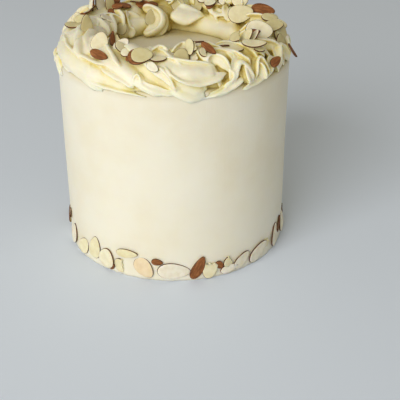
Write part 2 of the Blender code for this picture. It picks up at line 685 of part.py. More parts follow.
def main():
    for thing in list(bpy.data.objects):
        bpy.data.objects.remove(thing, do_unlink=True)

    cake = make_object("iced_cake", cake_body("iced_cake", 0.0))
    fuse(cake, foot_slices())
    keep_largest_shell(cake)
    paint(cake, "buttercream_coat", (0.86, 0.80, 0.62), 0.55)

    ring = make_object("piped_ring", ring_core())
    folds = [fold_mesh(fold) for fold in list_folds()]
    strokes = [
        stroke_mesh(stroke, number)
        for number, stroke in enumerate([*STROKES, *strokes_behind()])
    ]
    curls = [curl_mesh(curl) for curl in CURLS]
    fuse(ring, folds + strokes + curls)
    warp(ring.data)
    soften(ring)
    cream = BVHTree.FromObject(ring, bpy.context.evaluated_depsgraph_get())
    thin_out(ring)
    fuse(ring, ring_slices(cream))
    cutter = make_object("cutter", cake_body("cutter", CLEARANCE))
    boolean(ring, "DIFFERENCE", object=cutter)
    bpy.data.objects.remove(cutter, do_unlink=True)
    keep_largest_shell(ring)
    paint(ring, "piped_buttercream", (0.88, 0.83, 0.66), 0.45)


main()
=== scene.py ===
"""Looks of the amaretto cake: buttercream coat, piped ring and flaked almonds."""

import json
import math
import random

import bmesh
import bpy
import numpy as np
from mathutils import Matrix, Vector, noise
from mathutils.bvhtree import BVHTree

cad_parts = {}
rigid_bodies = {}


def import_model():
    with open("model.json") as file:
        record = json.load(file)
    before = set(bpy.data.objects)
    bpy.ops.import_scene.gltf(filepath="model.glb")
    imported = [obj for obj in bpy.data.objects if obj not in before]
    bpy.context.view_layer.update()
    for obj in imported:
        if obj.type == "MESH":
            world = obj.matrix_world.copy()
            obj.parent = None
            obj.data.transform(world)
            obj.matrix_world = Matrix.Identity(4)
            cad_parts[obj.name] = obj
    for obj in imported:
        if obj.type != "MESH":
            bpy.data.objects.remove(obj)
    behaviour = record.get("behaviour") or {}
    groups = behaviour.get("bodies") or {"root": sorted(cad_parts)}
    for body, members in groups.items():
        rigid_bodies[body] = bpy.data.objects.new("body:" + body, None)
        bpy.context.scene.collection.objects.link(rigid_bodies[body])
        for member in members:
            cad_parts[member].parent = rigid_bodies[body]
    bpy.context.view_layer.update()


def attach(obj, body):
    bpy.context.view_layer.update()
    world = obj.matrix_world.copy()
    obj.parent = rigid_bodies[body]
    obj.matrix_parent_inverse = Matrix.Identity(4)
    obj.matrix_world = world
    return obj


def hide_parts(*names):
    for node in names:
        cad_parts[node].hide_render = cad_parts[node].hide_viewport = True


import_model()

# Cake
CAKE_RADIUS = 0.075
CAKE_HEIGHT = 0.130
TOP_EDGE_RADIUS = 0.003
CORNER_STEPS = 8
CAKE_SIDES = 240
COAT_LEVELS = 90

# The coat's relief, as noise round and up the cake, and the skirt at its foot
RELIEF_ROUND = 2.2
RELIEF_UP = 18
RELIEF_DEPTH = 0.00025
SKIRT_ROUND = 6
SKIRT_SHIFT = Vector((4, 0, 0))
SKIRT_HEIGHT = 0.0035
SKIRT_LEVEL = 0.5
SKIRT_DEPTH = 0.0007

# The cake that is cut away under the ring
CUTTER_GROWTH = 0.0001
CUTTER_LEVELS = 12

# Piped ring
RING_RADIUS = 0.0562
ARCH_HALF_WIDTH = 0.0156
ARCH_RISE = 0.0112
ARCH_DROP = 0.0026
ADVANCE_POWER = 1.5
CORE_HALF_WIDTH = 0.0150
CORE_HALF_HEIGHT = 0.0120
CORE_STEPS = 144
CORE_SIDES = 24
STAR_SHARPNESS = 1.5
STAR_HOOK = 0.50
INNER_END_SCALE = 0.55
INNER_ROUNDING = 0.20
OUTER_END_SCALE = 0.58
OUTER_ROUNDING = 0.42
POINTS_PER_LOBE = 15
STEPS_PER_FOLD = 54
STEPS_PER_STROKE = 34
FOLD_END = 0.05
STROKE_END = 0.12
END_BLUNTNESS = 0.02
FLUTTER = 0.05
FLUTTER_ALONG = 5
FLUTTER_APART = 3.7

# Folds over the core, in groups: first and last bearing, spacing, advance round the ring of the
# first and the last, radius, twist, lobes, start on the parabola (-1 is its inner foot) and
# fullness. Degrees and metres.
FOLD_GROUPS = (
    (-168.0, -160.0, 21.0, 104.0, 104.0, 0.0078, 60.0, 4, -0.70, 0.78),
    (-147.0, -52.0, 21.0, 96.4, 62.0, 0.0094, 60.0, 4, -0.70, 0.78),
    (-36.0, -8.0, 14.0, 44.0, 34.0, 0.0096, 60.0, 4, -0.95, 0.78),
    (12.0, 95.0, 9.5, 12.0, 8.0, 0.0090, 30.0, 4, -0.95, 0.56),
    (104.0, 182.0, 14.0, 16.0, 20.0, 0.0094, 60.0, 4, -0.35, 0.60),
)
FOLD_VARIETY = {
    "bearing": (-0.1, 0.1),
    "advance": (0.9, 1.1),
    "radius": (0.93, 1.07),
    "twist": (0.7, 1.3),
    "lift": (-0.0008, 0.0012),
    "shift": (-0.0008, 0.0008),
    "spacing": (0.92, 1.08),
}

# The dome that the folds make together, in a radial section
DOME_HALF_WIDTH = 0.0190
DOME_HEIGHT = 0.0195
DOME_BASE = 0.1290

# Strokes piped over the folds: bearing and arch angle at the start, middle and end, depth their
# middle line is sunk in the dome, radius at the start, middle and end, and fullness, from 0.4
# for a thin lip to 0.95 for a round swell. Degrees and millimetres.
STROKES = (
    (-90, 150, -62, 150, -26, 168, 5.0, 3.6, 7.8, 5.0, 0.90),
    (-54, 166, -33, 175, -9, 185, 0.8, 1.4, 2.8, 1.8, 0.45),
    (-84, 132, -56, 136, -25, 140, 1.0, 2.0, 3.8, 2.4, 0.45),
    (-64, 96, -55, 122, -46, 142, 1.0, 2.4, 4.8, 3.0, 0.42),
    (-41, 96, -31, 124, -23, 144, 1.2, 2.6, 5.0, 2.8, 0.50),
    (-42, 144, -39, 156, -37, 170, 0.8, 1.2, 2.2, 1.2, 0.50),
    (-35, 144, -25, 158, -16, 171, 0.8, 1.6, 3.0, 2.2, 0.45),
    (-17.5, 174, -15, 150, -12, 164, 0.3, 1.3, 2.2, 1.5, 0.45),
    (-14.5, 154, -9, 168, 3, 182, 0.6, 1.6, 2.8, 2.0, 0.45),
    (-6, 130, -1, 148, 3, 180, 0.8, 2.0, 3.4, 2.2, 0.45),
    (-3, 128, 8, 160, 27, 150, 0.8, 2.4, 4.4, 2.6, 0.42),
    (-1, 126, 10, 142, 23, 144, 5.0, 5.0, 7.6, 5.0, 0.90),
    (-5, 110, 8, 123, 22, 134, 1.2, 2.0, 3.8, 2.6, 0.45),
    (0, 172, 8, 184, 17, 181, 2.0, 2.4, 4.4, 2.8, 0.75),
    (12, 190, 18, 185, 24, 178, 0.3, 1.2, 2.0, 1.4, 0.45),
    (16, 190, 24, 181, 31, 171, 0.3, 1.2, 2.2, 1.6, 0.45),
    (20, 190, 27, 176, 35, 163, 0.3, 1.2, 2.4, 1.8, 0.45),
    (17, 130, 23, 117, 29, 150, 0.6, 2.6, 4.2, 3.2, 0.42),
    (29, 146, 29.5, 162, 24, 173, 1.0, 2.8, 3.2, 2.0, 0.45),
    (28, 172, 35, 136, 40.5, 179, 0.6, 2.4, 4.2, 2.6, 0.42),
    (41, 176, 46.5, 142, 51, 181, 0.6, 2.4, 4.0, 2.6, 0.42),
    (51, 178, 55, 154, 60, 181, 0.6, 2.2, 3.6, 2.4, 0.42),
    (60, 178, 67, 140, 75, 179, 0.8, 2.4, 4.2, 2.8, 0.42),
    (75, 178, 83, 140, 92, 179, 0.8, 2.4, 4.2, 2.8, 0.42),
    (34, 184, 42, 177, 50, 170, 0.3, 1.4, 2.4, 1.8, 0.45),
    (28, 98, 34, 120, 41, 146, 1.2, 2.8, 4.6, 3.2, 0.42),
    (42, 98, 47, 118, 53, 142, 1.2, 2.8, 4.6, 3.2, 0.42),
    (56, 100, 62, 122, 68, 144, 1.2, 2.8, 4.6, 3.2, 0.42),
    (16, 128, 26, 106, 35, 130, 1.0, 2.6, 4.2, 2.8, 0.42),
    (-12, 100, -7, 80, -1, 97, -1.0, 2.6, 4.4, 2.6, 0.50),
    (1, 98, 7, 78, 12, 98, -0.6, 2.4, 4.2, 2.4, 0.50),
    (15, 96, 18, 112, 20, 130, 0.2, 1.6, 2.8, 1.8, 0.45),
    (20, 92, 23, 106, 25, 122, 0.2, 1.6, 2.8, 1.8, 0.45),
    (-92, 168, -84, 178, -73, 187, 0.8, 1.8, 3.0, 2.0, 0.50),
    (-78, 172, -72, 184, -64, 190, 0.6, 1.4, 2.2, 1.4, 0.50),
    (-95, 166, -91, 173, -89, 181, 0.0, 1.2, 2.0, 1.5, 0.55),
    (-88, 168, -84, 175, -82, 183, 0.0, 1.2, 2.2, 1.5, 0.55),
    (-81, 168, -77, 175, -75, 183, 0.0, 1.2, 2.2, 1.5, 0.55),
    (-88, 170, -82, 179, -78, 187, -0.6, 1.2, 2.0, 1.4, 0.55),
    (-138, 66, -128, 34, -140, 12, 0.3, 2.0, 3.6, 2.0, 0.45),
    (-88, 66, -108, 70, -122, 36, 0.2, 2.0, 3.6, 2.2, 0.45),
    (150, 64, 143, 46, 134, 32, 0.2, 1.8, 3.4, 2.0, 0.45),
    (139, 78, 132, 58, 122, 42, 0.2, 1.8, 3.4, 2.0, 0.45),
    (104, 24, 140, 20, 184, 24, 6.5, 7.0, 8.0, 6.5, 0.95),
    (-178, 22, -150, 22, -110, 26, 6.5, 7.0, 9.0, 7.0, 0.95),
    (183, 44, 169, 32, 150, 38, 0.0, 7.5, 9.2, 1.2, 0.60),
    (184, 80, 178, 60, 170, 46, 0.6, 2.0, 3.8, 2.2, 0.42),
    (-96, 24, -106, 50, -116, 72, 1.0, 2.4, 4.8, 2.4, 0.45),
    (-84, 34, -92, 58, -102, 80, 1.0, 2.4, 4.8, 2.4, 0.45),
    (-118, 26, -124, 52, -130, 84, 0.5, 2.4, 4.8, 2.2, 0.45),
    (152, 70, 141, 50, 128, 58, 1.0, 3.0, 4.8, 2.6, 0.45),
    (132, 80, 122, 58, 110, 64, 1.0, 3.0, 4.8, 2.6, 0.45),
    (160, 88, 150, 68, 136, 84, 0.5, 3.0, 4.8, 2.6, 0.45),
    (112, 60, 102, 84, 96, 112, 1.0, 2.6, 4.8, 3.0, 0.45),
    (124, 84, 112, 108, 104, 138, 1.0, 2.6, 4.8, 3.0, 0.45),
    (36.5, 144, 37, 160, 37.5, 176, -0.4, 1.8, 3.2, 2.4, 0.48),
    (46, 145, 46.5, 160, 46.5, 177, -0.6, 2.0, 3.6, 2.6, 0.50),
    (-76, 168, -71, 177, -67, 185, -0.6, 1.2, 2.0, 1.4, 0.55),
    (-77, 168, -70.5, 181, -66, 194, 1.2, 2.6, 3.3, 2.6, 0.95),
)
STROKES_BEHIND = 9
BEHIND_FROM = 106
BEHIND_SPACING = 17

# Curls piped on the inner face: bearing, arch angle, height off the dome, bearing and elevation
# the curl opens to, radius of its arc, its first and last angle, radius of the cream at the
# start and at the end, and drift of the end out of the arc's plane. Degrees and millimetres.
CURLS = (
    (-152, 28, 2.0, 4, 32, 8.4, 120, -115, 5.2, 5.8, 2.0),
    (-139, 32, 2.5, 4, 30, 9.0, 140, 262, 3.0, 4.2, 1.5),
    (-170, 72, 2.0, 4, 40, 6.0, 150, -60, 3.2, 2.6, 3.0),
    (128, 72, 2.0, -10, 40, 6.0, 150, -70, 3.2, 2.6, 3.0),
)
LIP_LOBES = 3
CURL_FULLNESS = 0.50
LIP_SHARPNESS = 1.8
LIP_HOOK = 0.35
LIP_LEAN = 28.0
LEAN_APART = 2.4
LEAN_ALONG = 2
CURL_LEAN = 25.0
CURL_LEAN_ALONG = 3
WARP_BROAD = 0.0012
WARP_BROAD_SCALE = 75
WARP_FINE = 0.00045
WARP_FINE_SCALE = 210
WARP_FINE_SHIFT = Vector((5, 3, 1))
BLEND_SIZE = 0.00045
BLEND_ROUNDS = 6
SMOOTHING = 0.5
CREAM_TRIANGLES = 190000

# Almond slices
SLICE_LENGTH = 0.0165
SLICE_WIDTH = 0.0105
SLICE_THICKNESS = 0.0011
SLICE_TAPER = 0.22
BROKEN_AT = 0.12
BREAK_WAVES = ((0.06, 9), (0.02, 23))
SLICE_SIDES = 26
# Share of the outline and of half the thickness, from the middle of one face to the other's
SLICE_SECTION = (
    (0.0, 1.0),
    (0.45, 1.0),
    (0.80, 1.0),
    (0.97, 0.86),
    (1.0, 0.45),
    (1.0, -0.45),
    (0.97, -0.86),
    (0.80, -1.0),
    (0.45, -1.0),
    (0.0, -1.0),
)
RIM_BANDS = (2, 3, 4)
FLESH, SKIN, RIM = range(3)
BEND_LEVEL = 0.3
ROUGH_DEPTH = 0.00018
ROUGH_SCALE = 300
ROUGH_APART = 50
LOOK_APART = 0.3

# Slices at the foot: bearing, height, spin, length, width, kind and tone. Degrees and millimetres.
FOOT_SLICES = (
    (-74, 20.0, 70, 8, 6, "face", 0.45),
    (-66, 9.5, 85, 15, 9, "face", 0.80),
    (-54, 8.0, 60, 13, 10, "face", 0.62),
    (-44, 12.5, 82, 17, 10, "face", 0.58),
    (-36, 8.8, 75, 15, 13, "face", 0.70),
    (-33, 4.0, 30, 6, 5, "skin", 0.50),
    (-26.7, 6.6, 5, 13, 10, "broken", 0.55),
    (-23.5, 17.4, 7, 16, 6, "face", 0.48),
    (-14.7, 8.6, -50, 16, 11.5, "face", 1.00),
    (-8, 14.3, -8, 7.5, 4.6, "skin", 0.50),
    (0.2, 7.7, -6, 22, 11.5, "face", 0.84),
    (12, 9.2, 65, 18, 8, "skin", 0.50),
    (18.4, 10.0, 80, 20, 10, "broken", 0.62),
    (23.0, 8.8, -50, 6.5, 5, "skin", 0.50),
    (28.9, 10.2, 30, 11, 7, "broken", 0.60),
    (28.5, 4.2, 8, 13, 6, "face", 0.84),
    (36, 7.2, 35, 15, 9, "face", 0.80),
    (47.5, 7.6, 28, 19, 11, "face", 0.82),
    (55, 11.5, 70, 10, 6, "broken", 0.60),
    (63.5, 10.0, 72, 17, 10, "face", 0.80),
    (70, 14.0, 60, 12, 8, "skin", 0.50),
    (77, 11.5, 75, 16, 9, "face", 0.75),
)
FOOT_SLICES_BEHIND = 24
FOOT_BEHIND_FROM = 85
FOOT_BEHIND_SPAN = 192
FOOT_STAND_OFF = (0.0003, 0.0009)

# Slices on the ring: bearing, arch angle, rise off the cream, bearing and elevation of the face,
# spin, length, width, kind and tone, whose low values are painted shade. Degrees and millimetres.
RING_SLICES = (
    (-84, 110, 1.6, 0, 84, -6, 12, 8, "face", 0.25),
    (-97, 112, 1.4, 10, 20, 80, 10, 7.5, "face", 0.62),
    (-72, 89, 3.0, 25, 15, 88, 15, 8, "face", 0.05),
    (-42.8, 106, 1.8, 0, 38, 75, 12.6, 10.4, "face", 0.65),
    (-37.3, 129, 1.0, -20, 45, -16, 12.5, 5.6, "skin", 0.5),
    (-40, 86, 1.6, 40, 40, 62, 10, 3.4, "skin", 0.5),
    (-37, 82, 2.0, -60, 20, -30, 10, 6, "broken", 0.15),
    (-39, 88, 1.6, 70, 30, 50, 9, 4.5, "skin", 0.5),
    (-117, 27, 1.4, 0, 30, 60, 9, 7.5, "face", 0.10),
    (-121, 95, 4.0, 50, 12, 86, 13, 8, "face", 0.80),
    (-115, 101, 3.6, -62, 10, 80, 12, 7, "face", 0.80),
    (-126, 84, 3.0, 40, 15, 84, 12, 7, "face", 0.10),
    (-103, 106, 1.0, -50, 30, 24, 7, 3.6, "skin", 0.5),
    (-95, 101, 0.8, 55, 55, -30, 7, 3.5, "skin", 0.5),
    (-14, 119, 1.4, 0, 52, 4, 13, 10, "face", 0.22),
    (-15.5, 121, 0.6, 0, 52, 4, 13.5, 10.5, "skin", 0.5),
    (-21, 114, 1.0, -40, 40, 60, 8, 4.5, "skin", 0.5),
    (-6, 119, 1.2, 5, 80, -3, 10, 6, "face", 0.60),
    (-8, 137, 0.6, -15, 32, -28, 8, 5, "face", 0.78),
    (5.5, 108, 1.6, 8, 34, 70, 12, 10, "face", 0.08),
    (7, 97, 2.2, 48, 26, 60, 10, 6.5, "face", 0.60),
    (11, 95, 2.0, -42, 36, -50, 11, 6, "face", 0.45),
    (14, 97, 1.6, -20, 50, 30, 8, 6, "broken", 0.35),
    (15.5, 85, 2.0, 0, 108, -4, 10, 5, "skin", 0.5),
    (20.5, 107, 1.8, 0, 50, -42, 11, 4.6, "skin", 0.5),
    (37, 96, 2.2, 10, 70, -12, 16, 9, "face", 0.58),
    (33, 84, 2.6, 20, 112, -36, 10, 6, "face", 0.40),
    (49, 98, 2.8, -60, 24, 60, 13, 8, "face", 0.50),
    (45, 91, 3.0, -44, 58, 40, 12, 8, "broken", 0.25),
    (53, 104, 2.4, -70, 34, 74, 11, 7, "face", 0.70),
    (63, 99, 4.0, 5, 35, -4, 17, 13, "face", 0.70),
    (64, 86, 3.2, -50, 30, 70, 11, 5, "skin", 0.5),
    (60, 93, 3.2, 20, 70, 10, 10, 6, "skin", 0.5),
    (107, 62, 2.4, 0, 35, 12, 17, 12, "face", 0.52),
    (107, 103, 2.8, 0, 44, -10, 16, 8, "skin", 0.5),
    (94, 106, 2.8, 20, 66, -14, 11, 7, "face", 0.32),
    (90, 123, 4.6, 15, 46, -10, 12, 8, "face", 0.45),
    (84, 120, 2.6, 40, 34, 62, 13, 9, "face", 0.10),
    (78, 112, 2.8, -10, 56, 20, 13, 9, "face", 0.20),
    (72, 160, 3.8, 88, 35, 80, 10, 6, "skin", 0.5),
    (79, 128, 2.6, 40, 30, 70, 14, 10, "face", 0.12),
    (71, 140, 2.0, 50, 20, 80, 12, 9, "face", 0.05),
    (54, 158, 1.2, 40, 32, 20, 9.5, 5.5, "skin", 0.5),
    (-153, 30, 1.8, 10, 25, 80, 11, 7, "face", 0.05),
    (-153, 62, 1.6, 0, 50, -5, 12, 6, "skin", 0.5),
    (147, 58, 1.4, -30, 40, 40, 7, 5, "skin", 0.5),
    (124, 84, 0.4, -10, 30, 60, 14, 11, "face", 0.60),
    (-126, 66, 1.4, -20, 50, 10, 8, 4, "skin", 0.5),
    (-134, 92, 1.6, 30, 50, 0, 8, 5, "skin", 0.5),
    (-176, 68, 2.2, 0, 30, 60, 12, 9, "face", 0.75),
    (157, 74, 2.2, 10, 30, 30, 11, 8, "face", 0.78),
    (138, 76, 2.0, -20, 44, -30, 10, 7, "broken", 0.80),
    (46, 120, 2.2, 10, 76, -8, 15, 8, "face", 0.60),
    (50, 128, 1.8, 30, 70, 10, 11, 7, "broken", 0.35),
    (14, 108, 1.6, -44, 42, 50, 9, 6, "broken", 0.70),
    (18, 112, 1.4, 40, 50, -20, 8, 6, "broken", 0.60),
    (-31, 93, 2.0, -20, 30, 50, 12, 8, "face", 0.80),
    (-28, 101, 1.6, 44, 36, -50, 11, 6, "face", 0.55),
    (-24, 106, 1.3, 10, 60, 20, 9, 6, "broken", 0.72),
    (-88, 96, 2.0, -30, 58, 10, 10, 7, "face", 0.35),
)
RING_SLICES_BEHIND = 20
RING_BEHIND_FROM = 138
RING_BEHIND_SPAN = 120
RAY_START = 0.06
SEED = 7

# Looks
# Painted shade in the cream's creases: darker yellow where a point is shut in within this reach,
# pale ivory on the ridges
CREASE_REACH = 0.011
CREASE_SHADE_STOPS = (
    (0.25, (0.76, 0.64, 0.26)),
    (0.62, (0.86, 0.78, 0.43)),
    (0.92, (0.87, 0.83, 0.66)),
)
CREAM_PATCH_STOPS = ((0.3, (0.97, 0.95, 0.90)), (0.7, (1.0, 1.0, 1.0)))
CREAM_SURFACE = {
    "Roughness": 0.42,
    "Subsurface Weight": 0.5,
    "Subsurface Radius": (1.0, 0.75, 0.35),
    "Subsurface Scale": 0.003,
    "Specular IOR Level": 0.4,
}
# Painted shade in the wide hollows of the piped cream
BROAD_SHADE_REACH = 0.030
BROAD_SHADE_STOPS = (
    (0.25, (0.80, 0.73, 0.44)),
    (0.55, (0.96, 0.93, 0.76)),
    (0.80, (1.0, 1.0, 1.0)),
)
COAT_STOPS = (
    (0.30, (0.80, 0.735, 0.56)),
    (0.52, (0.83, 0.785, 0.64)),
    (0.75, (0.85, 0.815, 0.69)),
)
# Painted shade on the coat's flat top, which lies in the shade of the ring
TOP_SHADE_STOPS = (
    (0.25, (0.68, 0.61, 0.38)),
    (0.55, (0.84, 0.80, 0.62)),
    (0.80, (0.90, 0.87, 0.82)),
)
COAT_SURFACE = {
    "Roughness": 0.5,
    "Subsurface Weight": 0.35,
    "Subsurface Radius": (1.0, 0.8, 0.45),
    "Subsurface Scale": 0.003,
    "Specular IOR Level": 0.35,
}
# Almond colour by tone: the dark olive low end is painted shade for slices lying in shade; the
# upper end holds the slices' own pale and peach colours
FLESH_STOPS = (
    (0.0, (0.54, 0.47, 0.24)),
    (0.35, (0.74, 0.67, 0.38)),
    (0.65, (0.85, 0.79, 0.55)),
    (0.85, (0.86, 0.81, 0.68)),
    (1.0, (0.83, 0.68, 0.45)),
)
MOTTLE_STOPS = ((0.3, (0.90, 0.86, 0.78)), (0.65, (1.0, 1.0, 1.0)))
FLESH_SURFACE = {
    "Roughness": 0.5,
    "Subsurface Weight": 0.3,
    "Subsurface Radius": (1.0, 0.7, 0.3),
    "Subsurface Scale": 0.0012,
}
SKIN_STOPS = (
    (0.3, (0.13, 0.044, 0.013)),
    (0.55, (0.28, 0.100, 0.028)),
    (0.8, (0.43, 0.19, 0.065)),
)
RIM_STOPS = (
    (0.3, (0.050, 0.020, 0.008)),
    (0.55, (0.13, 0.050, 0.018)),
    (0.8, (0.28, 0.12, 0.045)),
)
SKIN_SURFACE = {"Roughness": 0.6, "Specular IOR Level": 0.25}

# Stage and camera
FLOOR_REACH = 12
FLOOR_SURFACE = {"Base Color": (0.74, 0.81, 0.92, 1.0), "Roughness": 0.7}
WORLD_LIGHT = {"Color": (0.90, 0.86, 0.73, 1.0), "Strength": 0.39}
LIGHT_AIM = Vector((0.0, 0.0, 0.08))
CAMERA_PLACE = (0.0170, -0.5219, 0.3111)
CAMERA_ELEVATION = 29.33
LENS = 75.19
SENSOR_WIDTH = 36.0


def polar(radius, bearing, height):
    """A point by its radius, its bearing in degrees from the front, and its height."""
    turn = math.radians(bearing)
    return Vector((radius * math.sin(turn), -radius * math.cos(turn), height))


def make_object(name, data):
    made = bpy.data.objects.new(name, data)
    bpy.context.scene.collection.objects.link(made)
    return made


def edit_mesh(data, change):
    """Let change(work) edit the mesh."""
    work = bmesh.new()
    work.from_mesh(data)
    change(work)
    work.to_mesh(data)
    work.free()


def face_outward(work):
    bmesh.ops.recalc_face_normals(work, faces=work.faces)


def apply_modifiers(target):
    graph = bpy.context.evaluated_depsgraph_get()
    data = bpy.data.meshes.new_from_object(target.evaluated_get(graph))
    target.modifiers.clear()
    target.data = data


def tube_mesh(name, rings):
    """A closed mesh through equal rings of points (rows, points, 3)."""
    rows, count = rings.shape[:2]
    index = np.arange(rows * count).reshape(rows, count)
    after = np.roll(index, -1, axis=1)
    quads = np.stack([index[:-1], after[:-1], after[1:], index[1:]], axis=-1).reshape(-1, 4)
    faces = quads.tolist()
    faces.append(index[0][::-1].tolist())
    faces.append(index[-1].tolist())
    data = bpy.data.meshes.new(name)
    data.from_pydata(rings.reshape(-1, 3).tolist(), [], faces)
    edit_mesh(data, face_outward)
    return data


def star_outline(lobes, points_per_lobe, inner, sharpness, hook):
    """A star's outline of reach 1, with hollows at inner and lobes that hook to one side."""
    count = lobes * points_per_lobe
    outline = []
    for index in range(count):
        rise = (0.5 + 0.5 * math.cos(2 * math.pi * index / points_per_lobe)) ** sharpness
        turn = 2 * math.pi * index / count + hook * rise
        reach = inner + (1 - inner) * rise
        outline.append((reach * math.cos(turn), reach * math.sin(turn)))
    return outline


def list_folds():
    """The folds of all groups, each varied a little by seeded chance."""
    chance = random.Random(SEED)

    def varied(measure):
        return chance.uniform(*FOLD_VARIETY[measure])

    folds = []
    for group in FOLD_GROUPS:
        first, last, spacing, first_advance, last_advance, radius, twist, lobes, start, full = group
        bearing = first
        while bearing <= last:
            done = (bearing - first) / (last - first)
            advance = first_advance + (last_advance - first_advance) * done
            folds.append(
                {
                    "bearing": bearing + spacing * varied("bearing"),
                    "advance": advance * varied("advance"),
                    "radius": radius * varied("radius"),
                    "twist": twist * varied("twist"),
                    "phase": chance.uniform(0, 360 / lobes),
                    "lift": varied("lift"),
                    "shift": varied("shift"),
                    "lobes": lobes,
                    "start": start,
                    "fullness": full,
                }
            )
            bearing += spacing * varied("spacing")
    return folds


def fold_point(fold, share):
    """The fold's middle line: over the core along a parabola, while it advances round it."""
    reach = fold["start"] + (1 - fold["start"]) * share
    radius = RING_RADIUS + fold["shift"] + ARCH_HALF_WIDTH * reach
    rise = ARCH_RISE + ARCH_DROP + fold["lift"]
    height = CAKE_HEIGHT - ARCH_DROP + rise * (1 - reach * reach)
    bearing = fold["bearing"] + fold["advance"] * share**ADVANCE_POWER
    return polar(radius, bearing, height)


def fold_scale(share):
    """How thick the fold is along its length, with 1 in the middle."""
    inner = math.sin(math.pi / 2 * min(1.0, share / INNER_ROUNDING))
    outer = math.sin(math.pi / 2 * min(1.0, (1 - share) / OUTER_ROUNDING))
    swell = INNER_END_SCALE + (1 - INNER_END_SCALE) * inner
    thin = OUTER_END_SCALE + (1 - OUTER_END_SCALE) * outer
    return min(swell, thin)


def rounded_end(share, length):
    """A factor that rounds off both ends, each over this share of the length."""
    return min(1.0, math.sqrt(max(END_BLUNTNESS, min(share, 1 - share) / length)))


def sweep_star(path, reaches, turns, outline, key, tops=None):
    """Rings of the star along a path. Its first lobe points to tops, where they are given."""
    heading = (path[1] - path[0]).normalized()
    side = heading.orthogonal().normalized()
    rings = np.zeros((len(path), len(outline), 3))
    last = len(path) - 1
    for step, middle in enumerate(path):
        ahead = path[min(step + 1, last)] - path[max(step - 1, 0)]
        side = tops[step] if tops else heading.rotation_difference(ahead) @ side
        heading = ahead.normalized()
        side = (side - heading * side.dot(heading)).normalized()
        across = heading.cross(side)
        turn, reach = turns[step], reaches[step]
        for point, (x, y) in enumerate(outline):
            here = (
                middle
                + side * reach * (x * math.cos(turn) - y * math.sin(turn))
                + across * reach * (x * math.sin(turn) + y * math.cos(turn))
            )
            rings[step, point] = here
    return tube_mesh(key, rings)


def fold_mesh(fold, number):
    shape = (fold["fullness"], STAR_SHARPNESS, STAR_HOOK)
    outline = star_outline(fold["lobes"], POINTS_PER_LOBE, *shape)
    shares = [step / STEPS_PER_FOLD for step in range(STEPS_PER_FOLD + 1)]
    path = [fold_point(fold, share) for share in shares]
    turns = [math.radians(fold["phase"] + fold["twist"] * share) for share in shares]
    reaches = []
    for share in shares:
        place = Vector((share * FLUTTER_ALONG, number * FLUTTER_APART, 0))
        flutter = 1 + FLUTTER * noise.noise(place)
        reaches.append(fold["radius"] * fold_scale(share) * flutter * rounded_end(share, FOLD_END))
    return sweep_star(path, reaches, turns, outline, "fold")


def dome_point(bearing, arch, lift):
    """A point this far off the dome at a bearing and an arch angle."""
    lean = math.radians(arch)
    radius = RING_RADIUS - (DOME_HALF_WIDTH + lift) * math.cos(lean)
    return polar(radius, bearing, DOME_BASE + (DOME_HEIGHT + lift) * math.sin(lean))


def through(start, middle, end, share):
    """The value at this share of a curve that passes the middle value half way."""
    bend = 2 * middle - (start + end) / 2
    rest = 1 - share
    return rest * rest * start + 2 * rest * share * bend + share * share * end


def lip_outline(fullness):
    return star_outline(LIP_LOBES, POINTS_PER_LOBE, fullness, LIP_SHARPNESS, LIP_HOOK)


def stroke_mesh(stroke, number):
    """A lip along the dome. Its lean depends on the stroke's number."""
    shares = [step / STEPS_PER_STROKE for step in range(STEPS_PER_STROKE + 1)]
    bearings, arches, (sink, *radii) = stroke[0:6:2], stroke[1:6:2], stroke[6:10]
    path, turns, reaches, tops = [], [], [], []
    for share in shares:
        bearing, arch = through(*bearings, share), through(*arches, share)
        path.append(dome_point(bearing, arch, -sink / 1000))
        tops.append(path[-1] - dome_point(bearing, arch, -DOME_HEIGHT / 2))
        sway = math.sin(LEAN_APART * number + LEAN_ALONG * share)
        turns.append(math.radians(LIP_LEAN * sway))
        reaches.append(through(*radii, share) / 1000 * rounded_end(share, STROKE_END))
    return sweep_star(path, reaches, turns, lip_outline(stroke[10]), "stroke", tops)


def strokes_behind():
    """Folds over the crest and teeth at the rim, along the back of the ring."""
    chance = random.Random(SEED + 3)
    made = []
    for index in range(STROKES_BEHIND):
        bearing = BEHIND_FROM + BEHIND_SPACING * index + chance.uniform(-3, 3)
        swell, crest = chance.uniform(4.4, 5.6), chance.uniform(142, 152)
        made.append((bearing - 8, 100, bearing, 130, bearing + 14, 168, 0.6, 2.4, swell, 3.0, 0.45))
        made.append((bearing, 178, bearing + 6, crest, bearing + 12, 181, 0.6, 2.2, 3.9, 2.4, 0.42))
    return made


def curl_mesh(curl):
    bearing, arch, lift, face_bearing, face_elevation, arc, first, last, thick, thin, drift = curl
    middle = dome_point(bearing, arch, lift / 1000)
    place = slice_frame(middle, face_bearing, face_elevation, 0.0)
    shares = [step / STEPS_PER_FOLD for step in range(STEPS_PER_FOLD + 1)]
    path, turns, reaches, tops = [], [], [], []
    for share in shares:
        turn = math.radians(first + (last - first) * share)
        along = Vector((arc * math.cos(turn), arc * math.sin(turn), drift * share))
        path.append(place @ (along / 1000))
        tops.append(place.to_3x3() @ Vector((math.cos(turn), math.sin(turn), 1.0)))
        turns.append(math.radians(CURL_LEAN * math.sin(CURL_LEAN_ALONG * share)))
        reaches.append((thick + (thin - thick) * share) / 1000 * rounded_end(share, STROKE_END))
    return sweep_star(path, reaches, turns, lip_outline(CURL_FULLNESS), "curl", tops)


def warp(data):
    """Soften the regularity of the folds: every point moves a little with its place."""
    noise.seed_set(SEED)
    for point in data.vertices:
        broad = noise.noise_vector(point.co * WARP_BROAD_SCALE)
        fine = noise.noise_vector(point.co * WARP_FINE_SCALE + WARP_FINE_SHIFT)
        point.co += WARP_BROAD * broad + WARP_FINE * fine


